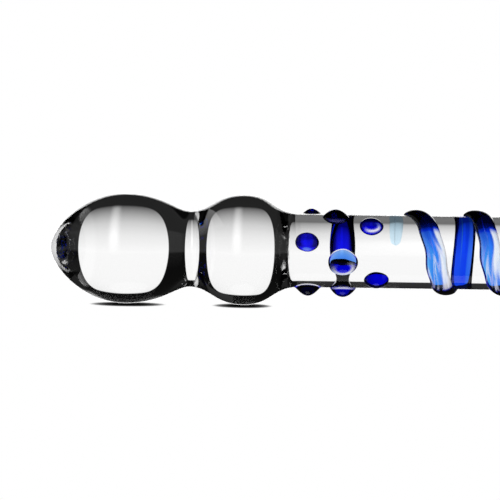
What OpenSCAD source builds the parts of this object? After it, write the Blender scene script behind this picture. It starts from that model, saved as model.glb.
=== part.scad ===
// Solid clear glass wand: a double-bulb head, a round shaft with three rings of raised blue glass nubs
// and a blue glass trail wound along it, and a round end knob.
//
// Frame: X runs along the wand from the tip to the knob, Y across it and Z up. The origin is under the
// middle of the wand's length, on the surface that it lies on.
// Stations are measured along the wand from its tip. Angles go round the shaft: 0 is the front (-Y),
// 90 the top, 180 the back and 270 the bottom.

/* [Wand] */
// Length from the tip to the end of the knob
wand_l = 200; // [196:1:206]
// Diameter of the shaft
shaft_d = 25.6; // [24:0.1:26]
// Station where the shaft becomes straight, behind the head
shaft_start = 86.5; // [84:0.5:88]
// Station where the shaft starts to flare into the knob
shaft_end = 171; // [168:0.5:174]

/* [Head] */
// Diameter of the bulb at the tip
front_bulb_d = 38.3; // [35:0.1:38.4]
// Station of the front bulb's widest point
front_bulb_x = 26; // [24:0.5:28]
// Diameter of the waist between the bulbs
waist_d = 26.4; // [23:0.1:29]
// Station of the waist
waist_x = 48.4; // [47:0.1:50]
// Diameter of the second bulb
rear_bulb_d = 38.4; // [36:0.1:40]
// Station of the second bulb's widest point
rear_bulb_x = 67; // [66:0.5:69]

/* [Knob] */
// Diameter of the end knob
knob_d = 38.4; // [34:0.1:40]
// Station of the knob's widest point
knob_x = 186; // [184:0.5:188]

/* [Nubs] */
// Station of the first ring of nubs
first_ring_x = 89.3; // [89:0.1:91]
// Distance from one ring of nubs to the next
ring_pitch = 11.7; // [11:0.1:12]

/* [Trail] */
// Station where the trail first crosses the top of the shaft
trail_top_x = 127.3; // [126:0.1:128]
// Advance of the trail in one turn
trail_pitch = 20.4; // [19.5:0.1:20.6]
// How much of the hand-laid trail's wandering to keep
trail_wander = 1; // [0:0.1:1]
// Width of the trail along the shaft
trail_w = 7.3; // [5:0.1:8]
// Height of the trail above the shaft
trail_h = 2.2; // [1.5:0.1:3]
// Turns laid before the first crossing of the top
trail_lead_in = 0.25; // [0.1:0.01:0.28]
// Turns laid after the first crossing of the top
trail_run_out = 2; // [1:0.05:2]

/* [Hidden] */
$fn = 96;
shaft_r = shaft_d / 2;
axis_z = max(front_bulb_d, rear_bulb_d, knob_d) / 2;
eps = 0.01;

// The outline's points of level tangent: station, radius, handle before and handle after. The handles
// are those of the cubic curve that joins each point to the next.
OUTLINE = [
    [front_bulb_x, front_bulb_d / 2, 14.7, 12.7],
    [waist_x, waist_d / 2, 4.2, 6.8],
    [rear_bulb_x, rear_bulb_d / 2, 10, 10.4],
    [shaft_start, shaft_r, 9.3, 0],
    [shaft_end, shaft_r, 0, 8],
    [knob_x, knob_d / 2, 7, 8],
];
tip_handle = 6.8;      // the tip's upright handle: short, so the tip comes to a blunt point
knob_end_handle = 12;  // the knob end's upright handle: long, so the end is full and round
curve_steps = 12;      // chords to a curve of the outline

// Each nub: node name, ring from 0, angle, station off the ring's, footprint diameter and height.
// They were laid by hand, so no two are alike.
NUBS = [
    ["ring1_front_nub", 0, 16.5, -0.7, 8.2, 2.2],
    ["ring1_top_nub", 0, 107, 1.1, 7.8, 2.2],
    ["ring1_back_nub", 0, 220, 0.2, 7.8, 2.1],
    ["ring1_bottom_nub", 0, 281, 0.1, 9.2, 3.0],
    ["ring2_front_nub", 1, -14.5, 0.3, 10.3, 2.8],
    ["ring2_top_nub", 1, 70.5, -2.4, 9.2, 2.5],
    ["ring2_back_nub", 1, 180.5, 0.6, 8.8, 2.5],
    ["ring2_bottom_nub", 1, 264, 0.6, 9.4, 3.4],
    ["ring3_upper_front_nub", 2, 46, -1.7, 8.1, 2.1],
    ["ring3_upper_back_nub", 2, 139, 0.3, 8.0, 2.1],
    ["ring3_lower_back_nub", 2, 222, -0.3, 8.0, 2.1],
    ["ring3_lower_front_nub", 2, 312, 0.1, 8.5, 2.3],
];

// How far the trail wanders off an even helix at each quarter turn, from the quarter before the first
// crossing of the top
WANDER = [-2.2, 0, 0.3, -0.2, 1.3, 0.6, -1.0, -0.9, -0.3, 0];

trail_steps = 44;        // sections to a turn of the trail
trail_arc = 9;           // chords across the trail's back
trail_fade = 0.3;        // turns over which each end of the trail thins out
trail_end_scale = 0.25;  // size of the trail's two end faces, against its full size

// A point of the cubic curve with ends a and d and handle ends b and c
function cubic(a, b, c, d, t) =
    pow(1 - t, 3) * a + 3 * pow(1 - t, 2) * t * b + 3 * (1 - t) * t * t * c + pow(t, 3) * d;

// The curve from a to d, without its first point, as [radius, station]
function curve(a, b, c, d) = [for (i = [1:curve_steps]) cubic(a, b, c, d, i / curve_steps)];

// The curve between two rows of OUTLINE
function bend(p, q) =
    curve([p[1], p[0]], [p[1], p[0] + p[3]], [q[1], q[0] - q[2]], [q[1], q[0]]);

// Smooth step from 0 to 1
function ease(t) = let (c = max(0, min(1, t))) c * c * (3 - 2 * c);

// The smooth curve through WANDER, at u turns from the first crossing of the top
function wander(u) =
    let (
        last = len(WANDER) - 1,
        q = 4 * u + 1,
        i = max(0, min(last - 1, floor(q))),
        t = q - i,
        p = [for (k = [-1:2]) WANDER[max(0, min(last, i + k))]]
    )
    p[1] + t / 2 * (p[2] - p[0] + t * (2 * p[0] - 5 * p[1] + 4 * p[2] - p[3]
        + t * (3 * p[1] - p[0] - 3 * p[2] + p[3])));

// The trail after u turns from the first crossing of the top: station, angle and size
function trail_x(u) = trail_top_x + trail_pitch * u + trail_wander * wander(u);
function trail_angle(u) = 90 - 360 * u;
function trail_size(u) = trail_end_scale + (1 - trail_end_scale)
    * ease((u + trail_lead_in) / trail_fade) * ease((trail_run_out - u) / trail_fade);

// The point at a station, angle and distance from the axis
function around(x, angle, r) = [x, -r * cos(angle), r * sin(angle)];

// Moves from the wand's axis frame, with the tip at the origin, to the part's frame
module place() {
    translate([-wand_l / 2, 0, axis_z]) children();
}

// Head, shaft and end knob, drawn from one glass rod
module clear_body() {
    first = OUTLINE[0];
    last = OUTLINE[len(OUTLINE) - 1];
    outline = concat(
        [[0, 0]],
        curve([0, 0], [tip_handle, 0], [first[1], first[0] - first[2]], [first[1], first[0]]),
        [for (i = [0:2]) each bend(OUTLINE[i], OUTLINE[i + 1])],
        [[shaft_r, shaft_end]],
        bend(OUTLINE[4], last),
        curve([last[1], last[0]], [last[1], last[0] + last[3]], [knob_end_handle, wand_l], [0, wand_l])
    );
    color([0.80, 0.90, 0.94, 0.5]) place() rotate([0, 90, 0]) rotate_extrude() polygon(outline);
}

// The head's flare into the shaft, as a solid
module flare() {
    rise = bend(OUTLINE[2], OUTLINE[3]);
    rotate([0, 90, 0]) rotate_extrude() polygon(concat([[0, rise[0][1]]], rise, [[0, shaft_start]]));
}

// One nub: a dome of blue glass seated on the shaft
module nub(n) {
    foot_r = n[4] / 2;
    height = n[5];
    dome_r = (foot_r * foot_r + height * height) / (2 * height);
    station = first_ring_x + n[1] * ring_pitch + n[3];
    color("mediumblue") place() difference() {
        translate(around(station, n[2], shaft_r + height - dome_r)) sphere(r = dome_r);
        translate([station, 0, 0]) rotate([0, 90, 0]) cylinder(r = shaft_r, h = 4 * dome_r, center = true);
        if (n[1] == 0) flare();
    }
}

// The trail: a half-round bead of blue glass wound round the shaft. Its underside stands off the shaft
// just enough for each flat facet to touch the shaft's round surface and not cut into it.
module blue_trail() {
    turns = trail_lead_in + trail_run_out;
    sections = ceil(turns * trail_steps);
    seat_r = shaft_r / cos(180 * turns / sections) + eps;
    across = trail_arc + 1;
    points = [
        for (i = [0:sections])
            let (u = turns * i / sections - trail_lead_in, s = trail_size(u))
                for (j = [0:trail_arc])
                    let (a = 180 * j / trail_arc)
                        around(trail_x(u) + s * trail_w / 2 * cos(a), trail_angle(u),
                            seat_r + s * trail_h * sin(a))
    ];
    sides = [
        for (i = [0:sections - 1], j = [0:trail_arc])
            let (a = i * across + j, b = i * across + (j + 1) % across)
                each [[a, a + across, b], [b, a + across, b + across]]
    ];
    start_face = [for (j = [0:trail_arc]) j];
    end_face = [for (j = [trail_arc:-1:0]) sections * across + j];
    color("dodgerblue") place() polyhedron(points, concat([start_face], sides, [end_face]), convexity = 6);
}

clear_body();
for (n = NUBS) nub(n);
blue_trail();
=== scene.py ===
"""Looks for the glass wand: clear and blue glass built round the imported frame, on a white floor, in a
studio of bright panels with dark gaps between."""

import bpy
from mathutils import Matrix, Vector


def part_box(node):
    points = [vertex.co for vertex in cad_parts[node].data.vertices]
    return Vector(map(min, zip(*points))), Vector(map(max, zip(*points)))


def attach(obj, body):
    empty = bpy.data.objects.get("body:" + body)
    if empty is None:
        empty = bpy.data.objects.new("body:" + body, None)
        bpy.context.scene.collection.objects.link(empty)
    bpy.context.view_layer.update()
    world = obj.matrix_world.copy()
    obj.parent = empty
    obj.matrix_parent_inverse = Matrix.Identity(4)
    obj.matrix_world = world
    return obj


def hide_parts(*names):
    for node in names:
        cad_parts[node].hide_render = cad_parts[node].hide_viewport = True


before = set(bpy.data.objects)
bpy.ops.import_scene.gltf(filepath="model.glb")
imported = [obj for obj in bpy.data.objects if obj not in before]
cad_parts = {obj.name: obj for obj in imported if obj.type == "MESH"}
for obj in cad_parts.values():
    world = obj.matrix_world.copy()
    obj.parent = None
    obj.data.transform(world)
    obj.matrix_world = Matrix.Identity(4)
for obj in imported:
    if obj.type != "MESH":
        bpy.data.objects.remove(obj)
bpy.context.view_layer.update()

import math
from collections import namedtuple

import bpy
import numpy as np
from mathutils import Matrix, Vector

MM = 0.001
TAU = 2 * math.pi

# ---------------------------------------------------------------------------------------------------
# The wand's own frame: stations along +X from the tip, angles round the axis from the front (-Y)
# over the top, all in millimetres and radians. The box of the clear body places it.
# ---------------------------------------------------------------------------------------------------

body_low, body_high = (np.array(corner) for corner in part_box("clear_body"))
WAND_L = (body_high[0] - body_low[0]) / MM
AXIS_Z = (body_high[2] + body_low[2]) / 2 / MM
TIP_X = body_low[0] / MM

# The outline's points of level tangent: station, radius, handle before and handle after.
OUTLINE = [
    (26.0, 19.15, 14.7, 12.7),
    (48.4, 13.2, 4.2, 6.8),
    (67.0, 19.2, 10.0, 10.4),
    (86.5, 12.8, 9.3, 0.0),
    (171.0, 12.8, 0.0, 8.0),
    (186.0, 19.2, 7.0, 8.0),
]
TIP_HANDLE = 6.8  # the upright handle at the tip
KNOB_END_HANDLE = 12.0  # the upright handle at the knob's end
SHAFT_R = OUTLINE[3][1]
SHAFT_START, SHAFT_END = OUTLINE[3][0], OUTLINE[4][0]
SINK = 0.3  # how deep the blue glass is fused into the clear glass

# Stretches of the clear glass that the flame and the tools left uneven: from, to and how much.
WORKED = [(-1.0, 8.0, 0.35), (51.9, 53.7, 0.25), (78.8, 81.4, 0.35)]
# Air bubbles in the clear glass: station, angle, distance from the axis and radius.
BUBBLES = [
    (45.9, 5.12, 12.1, 0.42),
    (43.9, 4.95, 13.0, 0.20),
    (8.6, 0.35, 8.0, 0.28),
    (53.1, 5.6, 11.2, 0.22),
    (80.4, 5.3, 11.5, 0.25),
    (80.0, 2.2, 11.0, 0.22),
]


def around(x, angle, r):
    """Points of the row frame, in metres, at stations x, angles and distances r from the axis."""
    x, angle, r = np.broadcast_arrays(x, angle, r)
    places = np.stack([x + TIP_X, -r * np.cos(angle), AXIS_Z + r * np.sin(angle)], axis=-1)
    return places * MM


def step(value, low, high):
    """Smooth step from 0 at low to 1 at high."""
    t = np.clip((value - low) / (high - low), 0, 1)
    return t * t * (3 - 2 * t)


def cubic(a, b, c, d, steps):
    """Points of the cubic curve with ends a and d and handle ends b and c, without its first point."""
    t = np.linspace(0, 1, steps + 1)[1:, None]
    a, b, c, d = (np.array(p, float) for p in (a, b, c, d))
    return (1 - t) ** 3 * a + 3 * (1 - t) ** 2 * t * b + 3 * (1 - t) * t * t * c + t ** 3 * d


def outline(curve_steps, shaft_steps):
    """The body's outline from tip to knob end as rows of station and radius."""
    first, last = OUTLINE[0], OUTLINE[-1]
    parts = [cubic((0, 0), (0, TIP_HANDLE), (first[0] - first[2], first[1]), first[:2], curve_steps)]
    for p, q in zip(OUTLINE, OUTLINE[1:]):
        if p[1] == q[1]:
            stations = np.linspace(p[0], q[0], shaft_steps + 1)[1:]
            parts.append(np.stack([stations, np.full(shaft_steps, p[1])], axis=1))
        else:
            parts.append(cubic(p[:2], (p[0] + p[3], p[1]), (q[0] - q[2], q[1]), q[:2], curve_steps))
    end = cubic(last[:2], (last[0] + last[3], last[1]), (WAND_L, KNOB_END_HANDLE), (WAND_L, 0), curve_steps)
    parts.append(end[:-1])
    return np.concatenate(parts)


PROFILE = outline(curve_steps=48, shaft_steps=195)


def surface(x):
    """The body's radius at stations x."""
    return np.interp(x, PROFILE[:, 0], PROFILE[:, 1])


# ---------------------------------------------------------------------------------------------------
# Blue glass: how each nub looks, and where the nubs and the trail sit on the shaft
# ---------------------------------------------------------------------------------------------------

# How a nub is shaped and coloured.
#   squash: its footprint's size round the shaft over the size along the shaft.
#   flare: 0.5 makes a full dome, and above 1 its skirt is hollow.
#   core, shift: its blue core's radius, and how far up round the shaft the core lies, in nub radii.
#   pale: how pale the glass beside the core is, from 0 to 1, or how near black painted shade makes it if below
#       0.
#   ring: how white a painted highlight in a crescent round the core is, from 0 to 1.
#   dark_sides, dark_top: how near to black painted shade makes the glass there, from 0 to 1.
#   rim: how white a painted highlight on the rim is, on its upper side if above 0 and on its lower side if
#       below.
NubLook = namedtuple("NubLook", "squash flare core shift pale ring dark_sides dark_top rim")

NUB_LOOKS = {
    "ring1_front_nub": NubLook(0.84, 0.6, 0.82, 0.22, 0.35, 0.0, 0.9, 0.3, 0.0),
    "ring1_top_nub": NubLook(1.0, 1.15, 1.0, 0.0, -0.6, 0.0, 0.9, 0.5, 0.0),
    "ring1_bottom_nub": NubLook(0.95, 1.25, 1.0, 0.0, 0.0, 0.0, 0.6, 0.0, 1.0),
    "ring2_front_nub": NubLook(0.92, 0.7, 0.34, -0.24, 1.0, 1.0, 0.9, 0.0, 0.9),
    "ring2_back_nub": NubLook(1.0, 0.9, 0.9, 0.0, 0.0, 0.0, 0.9, 0.0, 0.0),
    "ring2_top_nub": NubLook(1.0, 0.95, 0.85, 0.1, 0.3, 0.0, 0.1, 0.0, 0.0),
    "ring2_bottom_nub": NubLook(0.95, 0.9, 1.0, 0.0, 0.0, 0.0, 0.6, 0.0, 0.6),
    "ring3_upper_front_nub": NubLook(0.98, 0.7, 0.34, -0.3, 0.2, 1.0, 0.7, 1.0, 0.9),
    "ring3_lower_front_nub": NubLook(0.95, 0.75, 0.85, 0.15, 0.5, 0.0, 0.15, 0.0, -0.8),
}
PLAIN_NUB = NubLook(1.0, 1.1, 0.9, 0.0, 0.3, 0.0, 0.5, 0.0, 0.0)


class Nub:
    """A dome of blue glass. Its place and size come from its CAD node, its unevenness from a seed."""

    unevenness = 0.05  # the most that one wave bends the edge, as a share of the radius

    def __init__(self, node, seed):
        self.node = node
        places = np.array([v.co[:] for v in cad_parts[node].data.vertices]) / MM
        y, z = places[:, 1], places[:, 2] - AXIS_Z
        middle = math.atan2(z.mean(), -y.mean())
        turned = (np.arctan2(z, -y) - middle + math.pi) % TAU - math.pi
        self.angle = middle + (turned.max() + turned.min()) / 2
        self.x = (places[:, 0].max() + places[:, 0].min()) / 2 - TIP_X
        self.foot_r = (places[:, 0].max() - places[:, 0].min()) / 2
        self.height = np.hypot(y, z).max() - SHAFT_R
        self.look = NUB_LOOKS.get(node, PLAIN_NUB)
        rng = np.random.default_rng(seed)
        self.waves = [(n, rng.uniform(0.3, 1) * self.unevenness / n, rng.uniform(0, TAU))
                      for n in (1, 2, 3, 5)]

    def edge(self, way):
        """The footprint's radius in each direction round the nub."""
        oval = 1 / np.hypot(np.cos(way), np.sin(way) / self.look.squash)
        uneven = 1 + sum(size * np.cos(n * way + lag) for n, size, lag in self.waves)
        return self.foot_r * oval * uneven

    def outside(self, x, angle):
        """Below 0 inside the footprint, 0 on its edge and above 0 outside."""
        along = x - self.x
        across = ((angle - self.angle + math.pi) % TAU - math.pi) * SHAFT_R
        return np.hypot(along, across) / self.edge(np.arctan2(across, along)) - 1


class Trail:
    """The blue bead wound round the shaft. Its path repeats the design's numbers."""

    top_x, pitch = 127.3, 20.4
    wander = np.array([-2.2, 0, 0.3, -0.2, 1.3, 0.6, -1.0, -0.9, -0.3, 0])
    width, height = 7.3, 2.2
    lead_in, run_out, fade = 0.25, 2.0, 0.3
    # Where it leaves that path: how steeply it sags at the back, in millimetres to a turn, and how far
    # its left edge is pulled out over the top. Each with its middle and its reach, in turns.
    sag, sag_at, sag_reach = 18.0, 0.75, 0.09
    pull, pull_at, pull_reach = 0.9, 0.99, 0.035

    def middle(self, u):
        """The station of the bead's middle, u turns from its first crossing of the top."""
        last = len(self.wander) - 1
        q = 4 * np.asarray(u) + 1
        i = np.clip(np.floor(q).astype(int), 0, last - 1)
        t = q - i
        p = [self.wander[np.clip(i + k, 0, last)] for k in (-1, 0, 1, 2)]
        bend = 2 * p[0] - 5 * p[1] + 4 * p[2] - p[3] + t * (3 * p[1] - p[0] - 3 * p[2] + p[3])
        return self.top_x + self.pitch * u + p[1] + t / 2 * (p[2] - p[0] + t * bend)

    def angle(self, u):
        """The angle after u turns. It goes down the front first."""
        return math.pi / 2 - TAU * u

    def size(self, u, slow=0.25):
        """The bead's size along its length: rounded off to nothing at each end. The start swells more
        gradually when slow is larger, as it does in height."""
        start = np.clip((u + self.lead_in) / self.fade, 0, 1)
        end = np.clip((self.run_out - u) / self.fade, 0, 1)
        return (start * (2 - start)) ** slow * np.sqrt(end * (2 - end))

    def sides(self, u):
        """The stations of the bead's two edges, which waver. At the back it sags, so that it runs nearly
        straight round the shaft, and over the top its left edge is pulled out to a point."""
        half = self.size(u) * self.width / 2
        waver = 0.10 * np.sin(TAU * 3.1 * u + 1.0) + 0.06 * np.sin(TAU * 7.3 * u)
        from_back = (u - self.sag_at + 1.5) % 1 - 0.5
        sag = -self.sag * from_back * np.exp(-(from_back / self.sag_reach) ** 2)
        from_top = (u - self.pull_at + 1.5) % 1 - 0.5
        pulled = self.pull * np.exp(-(from_top / self.pull_reach) ** 2)
        left = self.middle(u) - half * (1 + waver) + sag - pulled
        right = self.middle(u) + half * (1 - 0.6 * waver) + sag
        return left, right

    def outside(self, x, angle):
        """Below 0 under the bead, 0 on its edges and above 0 elsewhere."""
        nearest = np.full(np.broadcast(x, angle).shape, 1.0)
        # Every turn of the trail that can pass these angles
        for turn in range(-1, 4):
            u = (math.pi / 2 - angle) / TAU + turn
            held = (u > -self.lead_in) & (u < self.run_out)
            left, right = self.sides(np.clip(u, -self.lead_in, self.run_out))
            half = np.maximum((right - left) / 2, 1e-6)
            off = np.abs(x - (left + right) / 2) / half - 1
            nearest = np.where(held, np.minimum(nearest, off), nearest)
        return nearest


FIRST_SEED = 10
NUB_NODES = [name for name in sorted(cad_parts) if name.endswith("_nub")]
nubs = [Nub(node, FIRST_SEED + i) for i, node in enumerate(NUB_NODES)]
trail = Trail()

# ---------------------------------------------------------------------------------------------------
# Meshes
# ---------------------------------------------------------------------------------------------------


def add_piece(name, verts, faces, materials, slot, *nodes):
    """A smooth mesh piece that rides on the wand and stands for its CAD nodes."""
    mesh = bpy.data.meshes.new(name)
    mesh.from_pydata(np.asarray(verts).tolist(), [], faces)
    mesh.validate()
    mesh.shade_smooth()
    for material in materials:
        mesh.materials.append(material)
    piece = bpy.data.objects.new(name, mesh)
    bpy.context.scene.collection.objects.link(piece)
    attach(piece, "root")
    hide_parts(*nodes)
    return piece


def mark(piece, name, domain, values):
    """Stores a number on each face or point of a piece's mesh, for its material to read."""
    layer = piece.data.attributes.new(name, "FLOAT", domain)
    layer.data.foreach_set("value", np.asarray(values, np.float32).ravel())


def add_blue_piece(node, glass, slot, mesh):
    """A piece of blue glass that stands for one CAD node."""
    verts, faces, sunk, pale, milk_and_sheen = mesh
    piece = add_piece("glass_" + node, verts, faces, [glass], slot, node)
    mark(piece, "sunk", "FACE", sunk)
    mark(piece, "pale", "POINT", pale)
    mark(piece, "milk_and_sheen", "POINT", milk_and_sheen)


def bubble_mesh(middle, radius, first):
    """A sphere that faces inwards, so that the air in it is outside the glass. Its vertices are numbered
    from first."""
    rings, spokes = 10, 16
    verts = []
    for k in range(1, rings):
        tilt = math.pi * k / rings
        for m in range(spokes):
            turn = TAU * m / spokes
            way = (math.cos(tilt), math.sin(tilt) * math.cos(turn), math.sin(tilt) * math.sin(turn))
            verts.append(middle + radius * np.array(way))
    verts += [middle + (radius, 0, 0), middle - (radius, 0, 0)]

    last = first + (rings - 1) * spokes
    faces = []
    for m in range(spokes):
        n = (m + 1) % spokes
        faces.append((last, first + n, first + m))
        faces.append((last + 1, first + (rings - 2) * spokes + m, first + (rings - 2) * spokes + n))
        for k in range(rings - 2):
            a, b = first + k * spokes + m, first + k * spokes + n
            faces.append((a, b, b + spokes, a + spokes))
    return verts, faces


def body_mesh():
    """The body as a turned grid. Faces under the blue glass are cut out along its exact edge."""
    columns = 200
    nub_overhang = 5  # how far before the shaft the first nubs can reach
    rows = PROFILE
    stations, radii = rows[:, :1], rows[:, 1:]
    angles = np.arange(columns) * TAU / columns
    grid = around(stations, angles, radii)
    count = len(rows)
    verts = [around(0, 0, 0)] + list(grid.reshape(-1, 3)) + [around(WAND_L, 0, 0)]
    end = 1 + count * columns

    # Below 0 at the grid points under blue glass.
    on_shaft = (rows[:, 0] >= SHAFT_START - nub_overhang) & (rows[:, 0] <= SHAFT_END)
    off = np.full((count, columns), 1.0)
    for shape in [*nubs, trail]:
        off[on_shaft] = np.minimum(off[on_shaft], shape.outside(stations[on_shaft], angles))

    def index(i, j):
        return 1 + i * columns + j % columns

    cuts = {}

    def crossing(a, b):
        """The vertex where the blue glass's edge crosses the side between grid points a and b."""
        key = tuple(sorted((a, b)))
        if key not in cuts:
            (i, j), (k, m) = key
            t = off[i, j] / (off[i, j] - off[k, m])
            turn = (angles[m] - angles[j] + math.pi) % TAU - math.pi
            x = rows[i, 0] + t * (rows[k, 0] - rows[i, 0])
            cuts[key] = len(verts)
            verts.append(around(x, angles[j] + t * turn, surface(x)))
        return cuts[key]

    faces, welded = [], []
    for j in range(columns):
        faces.append((0, index(0, j), index(0, j + 1)))
        welded.append(False)
    for i in range(count - 1):
        for j in range(columns):
            corners = [(i, j), (i + 1, j), (i + 1, (j + 1) % columns), (i, (j + 1) % columns)]
            under = [off[c] < 0 for c in corners]
            if all(under) or not any(under):
                faces.append([index(*c) for c in corners])
                welded.append(under[0])
                continue
            inner, outer = [], []
            for k, corner in enumerate(corners):
                (inner if under[k] else outer).append(index(*corner))
                if under[k] != under[(k + 1) % 4]:
                    cut = crossing(corner, corners[(k + 1) % 4])
                    inner.append(cut)
                    outer.append(cut)
            faces += [inner, outer]
            welded += [True, False]
    for j in range(columns):
        faces.append((end, index(count - 1, j + 1), index(count - 1, j)))
        welded.append(False)

    # How uneven the surface is at each vertex.
    x = np.array(verts)[:, 0] / MM - TIP_X
    fade = 0.6
    worked = np.zeros(len(x))
    for low, high, much in WORKED:
        worked += much * step(x, low, low + fade) * (1 - step(x, high - fade, high))

    for station, angle, r, radius in BUBBLES:
        bubble_verts, bubble_faces = bubble_mesh(around(station, angle, r), radius * MM, len(verts))
        verts += bubble_verts
        faces += bubble_faces
        welded += [False] * len(bubble_faces)
    worked = np.concatenate([worked, np.zeros(len(verts) - len(worked))])
    return verts, faces, welded, worked


def nub_glass(look, q, way):
    """How pale (or, below 0, near black with painted shade) and how milky a nub is at the share q of its
    radius, in direction way. A nub's milky white is all painted sheen and painted highlights.
    """
    # The blue core is an ellipse with a soft edge, and the pale glass round it stops short of the rim.
    core_squash, soft = 0.7, 0.12
    along, up = q * np.cos(way), q * np.sin(way)
    core_x, core_y = core_squash * along, up - look.shift
    off_core = np.hypot(core_x, core_y)
    pale = look.pale * step(off_core, look.core - soft, look.core + soft) * (1 - step(q, 0.86, 0.97))
    # Painted sheen: below the middle, the pale glass is painted milky white.
    milk_and_sheen = 0.7 * pale * step(-up, 0.35, 0.7)

    # Painted highlights: a white line on one side of the rim, and a white crescent under the core.
    rim = step(q, 0.9, 0.95) * np.clip(look.rim * np.sin(way) * 1.5, 0, 1)
    highlight_crescent = np.clip(0.45 - 1.4 * core_y + 0.5 * core_x, 0, 1)
    ring = look.ring * highlight_crescent * np.exp(-((off_core - look.core - 0.1) / 0.13) ** 2)
    white = np.maximum(rim, ring)

    # Painted shade: near black at both ends and over the top, but not where the painted highlights make it
    # white.
    sides = look.dark_sides * step(q, 0.25, 0.95) * (0.25 + 0.75 * np.cos(way) ** 2)
    top = look.dark_top * step(up, -0.15, 0.2)
    dark = np.maximum(sides, top) * (1 - white)
    return np.maximum(pale, white) - dark * (1 - 0.5 * pale), np.maximum(milk_and_sheen, white)


def nub_mesh(nub):
    """A nub as two polar grids that meet on its edge: the dome and the sunk base."""
    spokes, rings = 72, 28
    way = np.arange(spokes) * TAU / spokes
    q = np.sin(np.linspace(0, math.pi / 2, rings + 1))[1:, None]
    reach = q * nub.edge(way)
    x = nub.x + reach * np.cos(way)
    angle = nub.angle + reach * np.sin(way) / SHAFT_R
    rise = nub.height * (1 - q * q) ** nub.look.flare
    dome = around(x, angle, surface(x) + rise)
    base = around(x, angle, surface(x) - SINK)
    tops = [around(nub.x, nub.angle, surface(nub.x) + nub.height)]
    bottoms = [around(nub.x, nub.angle, surface(nub.x) - SINK)]
    verts = tops + list(dome.reshape(-1, 3)) + bottoms + list(base.reshape(-1, 3))
    lower = 1 + rings * spokes

    # The base and the dome's very top are plain blue.
    pale, milk_and_sheen = (np.concatenate([[0.0], part.ravel(), [0.0], np.zeros(part.size)])
                  for part in nub_glass(nub.look, q, way))

    def up(i, j):
        return 1 + i * spokes + j % spokes

    def down(i, j):
        return lower + up(i, j)

    faces, sunk = [], []
    for j in range(spokes):
        faces.append((0, up(0, j), up(0, j + 1)))
        sunk.append(0)
        faces.append((lower, down(0, j + 1), down(0, j)))
        sunk.append(1)
        for i in range(rings - 1):
            faces.append((up(i, j), up(i + 1, j), up(i + 1, j + 1), up(i, j + 1)))
            sunk.append(0)
            faces.append((down(i, j), down(i, j + 1), down(i + 1, j + 1), down(i + 1, j)))
            sunk.append(1)
        i = rings - 1
        faces.append((up(i, j), down(i, j), down(i, j + 1), up(i, j + 1)))
        sunk.append(1)
    return verts, faces, sunk, pale, milk_and_sheen


def trail_glass(u, side):
    """How pale (or, below 0, near black with painted shade) and how milky the trail is, u turns along it and
    at side of its width, from -1 on the left to 1 on the right. Its milky white is partly a real thread and
    partly painted sheen. Its streaks are drawn out along the bead."""
    # The streaks wander from side to side and have finer ones in them.
    drift = 0.16 * np.sin(TAU * 1.9 * u + 0.6) + 0.10 * np.sin(TAU * 5.3 * u + 2.0)
    fine = 0.5 + 0.5 * np.sin(9.0 * side + 4 * drift + 3.0 * np.sin(TAU * 2.3 * u))
    across = side + drift

    # Where on the shaft it is, and the painted shade that makes it near black over the top and underneath.
    front, height = 0.5 + 0.5 * np.sin(TAU * u), np.cos(TAU * u)
    lower = 1 - step(height, -0.4, 0.6)
    shade_over_and_under = step(height, 0.5, 0.75) + 1 - step(height, -0.92, -0.8)
    unshaded = 1 - shade_over_and_under

    # In front it is azure from the left edge to the middle, made paler lower down and in front by painted
    # light, with a white right flank that is a painted reflection and white patches of painted sheen. A thin
    # white thread runs the whole way, the start is pale, and the left edge has a dark outline of painted
    # shade.
    azure = (0.15 + 0.85 * lower) * (1 - step(across, 0.1, 0.6)) * (0.6 + 0.4 * fine)
    azure = azure * (0.03 + 0.97 * front) * unshaded
    edge = 0.9 - 0.6 * front - 0.4 * lower
    flank_sheen = step(across + 0.3 * fine, edge, edge + 0.4 + 0.1 * front + 0.2 * lower) * unshaded
    sheen_patches = front * lower * step(np.sin(5 * side + TAU * 7 * u + 4 * fine), 0.2, 1.0) * unshaded
    thread = np.exp(-((side + 0.2 + 0.3 * drift) / 0.035) ** 2) * (0.35 + 0.35 * np.sin(TAU * 3.7 * u + 1.0))
    start = 1 - step(u, -0.16, -0.02)
    outline = front * (1 - step(side, -0.93, -0.76)) * (1 - step(height, -0.1, 0.3))

    light = np.maximum(np.maximum(azure, flank_sheen * (0.25 + 0.75 * front)), thread) + start
    # Painted shade: the dark outline on the left edge, and near black over the top and underneath.
    dark = 0.8 * outline + 0.9 * shade_over_and_under
    pale = np.clip(light - dark * (1 - start), -1, 1)
    milk_and_sheen = np.clip(flank_sheen * front * (0.75 + 0.25 * fine) + 0.6 * sheen_patches + thread, 0, 1)
    return pale, milk_and_sheen


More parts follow.
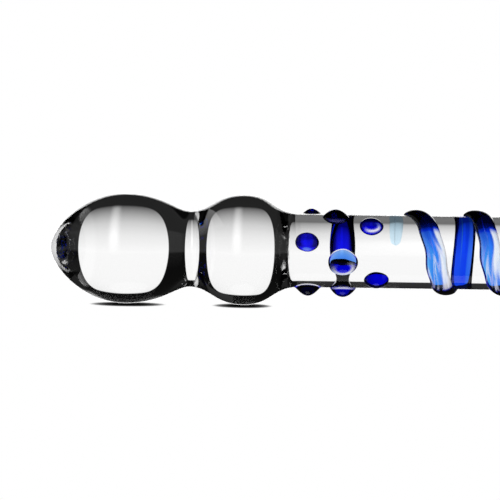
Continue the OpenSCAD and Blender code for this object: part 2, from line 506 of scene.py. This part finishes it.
def trail_mesh():
    """The trail as a swept loop: the bead's back above the shaft and its sunk underside."""
    steps, back, under = 560, 44, 6  # lengths along it, chords over its back and points across underneath
    thinnest, flattest = 0.02, 0.01  # so that no face at its ends shrinks to nothing
    u = np.linspace(-trail.lead_in, trail.run_out, steps + 1)
    left, right = trail.sides(u)
    middle, half = ((left + right) / 2)[:, None], ((right - left) / 2)[:, None]
    half = np.maximum(half, thinnest)
    size = np.maximum(trail.size(u, slow=2.0), flattest)[:, None]
    turn = np.linspace(0, math.pi, back + 1)
    rise = trail.height * size * np.sin(turn) ** 1.1
    over = around(middle + half * np.cos(turn), trail.angle(u)[:, None], SHAFT_R + rise)
    across = np.linspace(-1, 1, under)
    below = around(middle + half * across, trail.angle(u)[:, None], SHAFT_R - SINK)
    loop = np.concatenate([over, below], axis=1)
    ring = loop.shape[1]
    faces, sunk = [], []
    for i in range(steps):
        for j in range(ring):
            a, b = i * ring + j, i * ring + (j + 1) % ring
            faces.append((a, b, b + ring, a + ring))
            sunk.append(0 if j < back else 1)
    faces.append(tuple(range(ring - 1, -1, -1)))
    faces.append(tuple(steps * ring + j for j in range(ring)))
    sunk += [1, 1]

    side = np.concatenate([np.cos(turn), across])
    pale, milk_and_sheen = trail_glass(u[:, None], side[None, :])
    return loop.reshape(-1, 3), faces, sunk, pale, milk_and_sheen


# ---------------------------------------------------------------------------------------------------
# Materials
# ---------------------------------------------------------------------------------------------------

GLASS_IOR = 1.47
# Glass painted with sheen and highlights scatters in the same way as milky glass.
MILK_SCATTER = 0.85  # the share of the light that fully milky glass scatters


def new_material(name):
    """An empty material, with its nodes and links."""
    material = bpy.data.materials.new(name)
    material.use_nodes = True
    material.node_tree.nodes.clear()
    return material, material.node_tree.nodes, material.node_tree.links


def glass_shader(nodes, links, scale, strength):
    """Smooth colourless glass with the faint ripple that working in a flame leaves on it."""
    place = nodes.new("ShaderNodeTexCoord")
    noise = nodes.new("ShaderNodeTexNoise")
    noise.inputs["Scale"].default_value = scale
    noise.inputs["Detail"].default_value = 1.0
    links.new(place.outputs["Object"], noise.inputs["Vector"])
    bump = nodes.new("ShaderNodeBump")
    bump.inputs["Strength"].default_value = strength
    bump.inputs["Distance"].default_value = 0.0005
    links.new(noise.outputs["Fac"], bump.inputs["Height"])
    shader = nodes.new("ShaderNodeBsdfPrincipled")
    shader.inputs["Base Color"].default_value = (1, 1, 1, 1)
    shader.inputs["Roughness"].default_value = 0.0
    shader.inputs["IOR"].default_value = GLASS_IOR
    shader.inputs["Transmission Weight"].default_value = 1.0
    links.new(bump.outputs["Normal"], shader.inputs["Normal"])
    return shader


def clear_glass():
    """Colourless glass, uneven where the body is marked as worked."""
    material, nodes, links = new_material("clear_glass")
    shader = glass_shader(nodes, links, scale=60, strength=0.03)

    # Striae, drawn out round the wand.
    place = nodes.new("ShaderNodeTexCoord")
    drawn = nodes.new("ShaderNodeMapping")
    drawn.inputs["Scale"].default_value = (1.0, 0.55, 0.55)
    links.new(place.outputs["Object"], drawn.inputs["Vector"])
    noise = nodes.new("ShaderNodeTexNoise")
    noise.inputs["Scale"].default_value = 450
    noise.inputs["Detail"].default_value = 2.0
    noise.inputs["Distortion"].default_value = 1.5
    links.new(drawn.outputs["Vector"], noise.inputs["Vector"])
    worked = nodes.new("ShaderNodeAttribute")
    worked.attribute_name = "worked"
    striae = nodes.new("ShaderNodeBump")
    striae.inputs["Distance"].default_value = 0.0003
    links.new(worked.outputs["Fac"], striae.inputs["Strength"])
    links.new(noise.outputs["Fac"], striae.inputs["Height"])
    links.new(shader.inputs["Normal"].links[0].from_socket, striae.inputs["Normal"])
    links.new(striae.outputs["Normal"], shader.inputs["Normal"])
    out = nodes.new("ShaderNodeOutputMaterial")
    links.new(shader.outputs[0], out.inputs["Surface"])
    return material


def weld():
    """The clear body's surface under the blue glass, where the two are one and light passes unbent."""
    material, nodes, links = new_material("weld")
    shader = nodes.new("ShaderNodeBsdfTransparent")
    out = nodes.new("ShaderNodeOutputMaterial")
    links.new(shader.outputs[0], out.inputs["Surface"])
    return material


def blue_glass(name, deep, passed, density):
    """Blue glass that tints light by its depth, and at its surface unless it is pale there (above 0) or
    near black with painted shade (below 0). Milky streaks, painted sheen and painted highlights scatter light.
    Its sunk faces let light through unbent."""
    material, nodes, links = new_material(name)

    def attribute(label):
        node = nodes.new("ShaderNodeAttribute")
        node.attribute_name = label
        return node.outputs["Fac"]

    shader = glass_shader(nodes, links, scale=250, strength=0.15)

    # The tint, by pale. Each surface that light passes takes the square root of it, so its dark end has
    # to be very small.
    tint = nodes.new("ShaderNodeValToRGB")
    spread = nodes.new("ShaderNodeMath")
    spread.operation = "MULTIPLY_ADD"
    spread.inputs[1].default_value = spread.inputs[2].default_value = 0.5
    links.new(attribute("pale"), spread.inputs[0])
    links.new(spread.outputs[0], tint.inputs["Fac"])
    elements = tint.color_ramp.elements
    elements[0].color = (0.0, 0.0, 0.0005, 1)
    elements[1].color = (1, 1, 1, 1)
    elements.new(0.5).color = (*deep, 1)
    elements.new(0.3).color = (*(0.06 * part for part in deep), 1)
    links.new(tint.outputs["Color"], shader.inputs["Base Color"])
    clearness = nodes.new("ShaderNodeMath")
    clearness.operation = "MULTIPLY_ADD"
    clearness.inputs[1].default_value = -MILK_SCATTER
    clearness.inputs[2].default_value = 1.0
    links.new(attribute("milk_and_sheen"), clearness.inputs[0])
    links.new(clearness.outputs[0], shader.inputs["Transmission Weight"])

    through = nodes.new("ShaderNodeBsdfTransparent")
    mix = nodes.new("ShaderNodeMixShader")
    links.new(attribute("sunk"), mix.inputs[0])
    links.new(shader.outputs[0], mix.inputs[1])
    links.new(through.outputs[0], mix.inputs[2])
    depth = nodes.new("ShaderNodeVolumeAbsorption")
    depth.inputs["Color"].default_value = (*passed, 1)
    depth.inputs["Density"].default_value = density
    out = nodes.new("ShaderNodeOutputMaterial")
    links.new(mix.outputs[0], out.inputs["Surface"])
    links.new(depth.outputs[0], out.inputs["Volume"])
    return material


# ---------------------------------------------------------------------------------------------------
# The wand
# ---------------------------------------------------------------------------------------------------

verts, faces, welded, worked = body_mesh()
body = add_piece("wand_body", verts, faces, [clear_glass(), weld()], "clear_glass", "clear_body")
body.data.polygons.foreach_set("material_index", np.array(welded, np.int32))
mark(body, "worked", "POINT", worked)

cobalt = blue_glass("cobalt_glass", deep=(0.008, 0.0008, 0.84), passed=(0.12, 0.55, 0.95), density=1100)
azure = blue_glass("azure_glass", deep=(0.002, 0.012, 0.88), passed=(0.20, 0.71, 0.98), density=1500)
for nub in nubs:
    add_blue_piece(nub.node, cobalt, "cobalt_glass", nub_mesh(nub))
add_blue_piece("blue_trail", azure, "azure_glass", trail_mesh())

# ---------------------------------------------------------------------------------------------------
# Stage: white floor, bright-field studio and camera
# ---------------------------------------------------------------------------------------------------

# Sine of the height above the horizon, and the panels' brightness there.
PANEL_STOPS = [
    (-1.0, 0.008),
    (-0.65, 0.006),
    (-0.60, 0.15),
    (-0.50, 0.35),
    (-0.35, 0.66),
    (-0.20, 0.85),
    (0.0, 1.0),
    (0.62, 1.0),
    (0.64, 0.004),
]

# The studio as the glass sees it. Edges are directions: x is to the right, y away and z up.
WINDOW_X, WINDOW_HALF_X, WINDOW_HALF_Z = 0.045, 0.43, 0.645  # the panel behind: its middle and half sizes
WINDOW_POWER = 5.0  # how square its corners are
WINDOW_LEVEL = 1.26
MIRRORED_Z = (-0.27, 0.45)  # the part of it that gives reflections
STREAK_X, STREAK_LEVEL = (0.03, 0.11), 0.22
RIGHT_X, RIGHT_NEAR = (0.6, 0.96), 0.27
LEFT_X, LEFT_Z, LEFT_FROM, LEFT_LEVEL = (-0.92, -0.76), (-0.95, 0.6), -0.35, 0.9
BELOW_Z, BELOW_LEVEL = -0.96, 0.8
SKY_GAP, TABLE_GAP, HORIZON_GAP = 0.004, 0.022, 0.012  # light in the gaps, and more just under the horizon
MIRRORED, SIDE_MIRRORED = 1.5, -0.8  # how much brighter reflections are: of the panel behind, of the others
STUDIO_LEVEL = 0.8


def add_sheet(name, corners, material):
    """A flat sheet for the stage."""
    mesh = bpy.data.meshes.new(name)
    mesh.from_pydata(corners, [], [(0, 1, 2, 3)])
    mesh.materials.append(material)
    sheet = bpy.data.objects.new(name, mesh)
    bpy.context.scene.collection.objects.link(sheet)
    return sheet


def make_floor():
    """A white floor that darkens only where the glass nearly touches it."""
    half, low = 3.0, -0.0004  # half its width, and how far it is under the wand
    reach = 0.0035  # how far from the glass it darkens
    depth, gain = 3.0, 1.8  # how dark it gets there, and how soon it is white again
    material, nodes, links = new_material("white_floor")
    shadow = nodes.new("ShaderNodeAmbientOcclusion")
    shadow.samples = 16
    shadow.inputs["Distance"].default_value = reach
    deep = nodes.new("ShaderNodeMath")
    deep.operation = "POWER"
    deep.inputs[1].default_value = depth
    links.new(shadow.outputs["AO"], deep.inputs[0])
    lit = nodes.new("ShaderNodeMath")
    lit.operation = "MULTIPLY"
    lit.use_clamp = True
    lit.inputs[1].default_value = gain
    links.new(deep.outputs[0], lit.inputs[0])
    shader = nodes.new("ShaderNodeEmission")
    links.new(lit.outputs[0], shader.inputs["Strength"])
    out = nodes.new("ShaderNodeOutputMaterial")
    links.new(shader.outputs[0], out.inputs["Surface"])
    corners = [(-half, -half, low), (half, -half, low), (half, half, low), (-half, half, low)]
    floor = add_sheet("floor", corners, material)
    floor.visible_transmission = False
    floor.visible_glossy = False


# Light that the table and the ceiling send through the shaft: station of the left edge, near and far
# edge, height, and strength at the near and the far edge.
BOUNCE_END = 176  # the station of their right edge
BOUNCES = [
    (84, 0.004, 0.0195, -0.0003, 0.07, 0.07),
    (79, 0.0195, 0.08, -0.0003, 0.22, 0.0),
    (79, 0.0, 0.09, 0.08, 0.03, 0.03),
]


def make_bounces():
    """Faint lit strips behind the shaft. Only light that comes through the glass shows them."""
    for start, near, far, height, first, last in BOUNCES:
        left, right = (TIP_X + start) * MM, (TIP_X + BOUNCE_END) * MM
        material, nodes, links = new_material("bounce")
        place = nodes.new("ShaderNodeTexCoord")
        split = nodes.new("ShaderNodeSeparateXYZ")
        links.new(place.outputs["Object"], split.inputs[0])
        fade = nodes.new("ShaderNodeMapRange")
        links.new(split.outputs["Y"], fade.inputs["Value"])
        for label, value in (("From Min", near), ("From Max", far), ("To Min", first), ("To Max", last)):
            fade.inputs[label].default_value = value
        glow = nodes.new("ShaderNodeEmission")
        links.new(fade.outputs["Result"], glow.inputs["Strength"])
        through = nodes.new("ShaderNodeBsdfTransparent")
        both = nodes.new("ShaderNodeAddShader")
        links.new(glow.outputs[0], both.inputs[0])
        links.new(through.outputs[0], both.inputs[1])
        out = nodes.new("ShaderNodeOutputMaterial")
        links.new(both.outputs[0], out.inputs["Surface"])
        corners = [(left, near, height), (right, near, height), (right, far, height), (left, far, height)]
        card = add_sheet("bounce", corners, material)
        card.visible_camera = card.visible_diffuse = card.visible_glossy = card.visible_shadow = False


def make_world():
    """Plain white for the camera and for scattered light. The glass sees bright panels by direction,
    with dark gaps between."""
    world = bpy.data.worlds.new("studio")
    bpy.context.scene.world = world
    world.use_nodes = True
    nodes, links = world.node_tree.nodes, world.node_tree.links
    nodes.clear()

    def maths(operation, a, b=None, c=None):
        """A maths node on sockets and numbers."""
        node = nodes.new("ShaderNodeMath")
        node.operation = operation
        for socket, value in zip(node.inputs, (a, b, c)):
            if isinstance(value, (int, float)):
                socket.default_value = value
            elif value is not None:
                links.new(value, socket)
        return node.outputs[0]

    def above(value, edge, soft=0.01):
        """1 where value is above edge, 0 below, with a soft step between."""
        node = nodes.new("ShaderNodeMapRange")
        node.interpolation_type = "SMOOTHSTEP"
        links.new(value, node.inputs["Value"])
        node.inputs["From Min"].default_value = edge - soft
        node.inputs["From Max"].default_value = edge + soft
        return node.outputs["Result"]

    def between(value, low, high, soft=0.01):
        """1 where value is between low and high, 0 elsewhere, with soft steps."""
        return maths("SUBTRACT", above(value, low, soft), above(value, high, soft))

    def opposite(value):
        return maths("SUBTRACT", 1.0, value)

    def product(*values):
        result = values[0]
        for value in values[1:]:
            result = maths("MULTIPLY", result, value)
        return result

    place = nodes.new("ShaderNodeTexCoord")
    split = nodes.new("ShaderNodeSeparateXYZ")
    links.new(place.outputs["Generated"], split.inputs[0])
    x, y, z = split.outputs
    behind = above(y, 0.0, 0.05)

    # The panels' brightness by height: white above the horizon, greyer towards the table's near edge.
    ramp = nodes.new("ShaderNodeValToRGB")
    links.new(maths("MULTIPLY_ADD", z, 0.5, 0.5), ramp.inputs["Fac"])
    elements = ramp.color_ramp.elements
    while len(elements) < len(PANEL_STOPS):
        elements.new(1.0)
    for element, (height, value) in zip(elements, PANEL_STOPS):
        element.position = height * 0.5 + 0.5
        element.color = (value, value, value, 1)
    panel = ramp.outputs["Color"]

    path = nodes.new("ShaderNodeLightPath")
    mirror = path.outputs["Is Reflection Ray"]

    # A lamp's reflection on the table, a faint upright streak just right of the middle.
    tall = maths("SUBTRACT", above(z, -0.62, 0.05), above(z, -0.08, 0.13))
    streak = product(between(x, *STREAK_X, 0.035), tall, STREAK_LEVEL)

    # The bright panel behind the wand, with rounded corners. Its reflections are stronger, and only the
    # part of it near the horizon gives any.
    wide = maths("DIVIDE", maths("SUBTRACT", x, WINDOW_X), WINDOW_HALF_X)
    high = maths("DIVIDE", z, WINDOW_HALF_Z)
    wide, high = (maths("POWER", maths("ABSOLUTE", part), WINDOW_POWER) for part in (wide, high))
    window = opposite(above(maths("ADD", wide, high), 1.0, 0.05))
    lit = maths("MULTIPLY_ADD", mirror, MIRRORED, WINDOW_LEVEL)
    near_horizon = opposite(product(mirror, opposite(between(z, *MIRRORED_Z, 0.08))))
    back = product(maths("ADD", product(panel, window), streak), behind, lit, near_horizon)

    # A panel in front on the right, one on the left, both with weaker reflections, and one straight below.
    right = product(panel, between(x, *RIGHT_X, 0.03), above(maths("MULTIPLY", y, -1.0), RIGHT_NEAR, 0.05))
    left = product(between(x, *LEFT_X, 0.02), between(z, *LEFT_Z, 0.03), above(y, LEFT_FROM, 0.05), LEFT_LEVEL)
    sides = product(maths("ADD", right, left), maths("MULTIPLY_ADD", mirror, SIDE_MIRRORED, 1.0))
    below = product(opposite(above(z, BELOW_Z, 0.01)), BELOW_LEVEL)

    # The gaps between are nearly black, a little lighter on the table and lightest just under the horizon.
    dim = maths("MULTIPLY_ADD", above(z, 0.0, 0.02), SKY_GAP - TABLE_GAP, TABLE_GAP)
    dim = maths("MULTIPLY_ADD", between(z, -0.3, 0.0, 0.02), HORIZON_GAP, dim)
    studio = maths("ADD", maths("ADD", back, sides), maths("ADD", below, dim))

    plain = maths("MAXIMUM", path.outputs["Is Camera Ray"], path.outputs["Is Diffuse Ray"])
    strength = nodes.new("ShaderNodeMix")
    links.new(plain, strength.inputs["Factor"])
    links.new(product(studio, STUDIO_LEVEL), strength.inputs["A"])
    strength.inputs["B"].default_value = 1.0
    background = nodes.new("ShaderNodeBackground")
    background.inputs["Color"].default_value = (1, 1, 1, 1)
    links.new(strength.outputs["Result"], background.inputs["Strength"])
    out = nodes.new("ShaderNodeOutputWorld")
    links.new(background.outputs[0], out.inputs["Surface"])


def make_camera():
    """Side on and nearly level, close enough that the knob end runs out of the picture."""
    middle_x, below_axis = 69.2, 0.14  # the point it looks at
    view_width = 0.1735
    distance = 1.1
    elevation = math.radians(3.5)
    roll = math.radians(0.83)
    target = Vector(((TIP_X + middle_x) * MM, 0, (AXIS_Z - below_axis) * MM))
    data = bpy.data.cameras.new("camera")
    data.lens = data.sensor_width * distance / view_width
    data.clip_start, data.clip_end = 0.01, 50
    camera = bpy.data.objects.new("camera", data)
    back = Vector((0, -math.cos(elevation), math.sin(elevation)))
    turn = (-back).to_track_quat("-Z", "Y").to_matrix().to_4x4() @ Matrix.Rotation(roll, 4, "Z")
    camera.matrix_world = Matrix.Translation(target + back * distance) @ turn
    bpy.context.scene.collection.objects.link(camera)
    bpy.context.scene.camera = camera


make_floor()
make_bounces()
make_world()
make_camera()

# Light passes many surfaces here, but long runs of reflections inside the glass only add specks.
scene = bpy.context.scene
scene.view_settings.view_transform = "Standard"
scene.view_settings.look = "None"
scene.cycles.max_bounces = 12
scene.cycles.transmission_bounces = 10
scene.cycles.glossy_bounces = 2
scene.cycles.transparent_max_bounces = 32
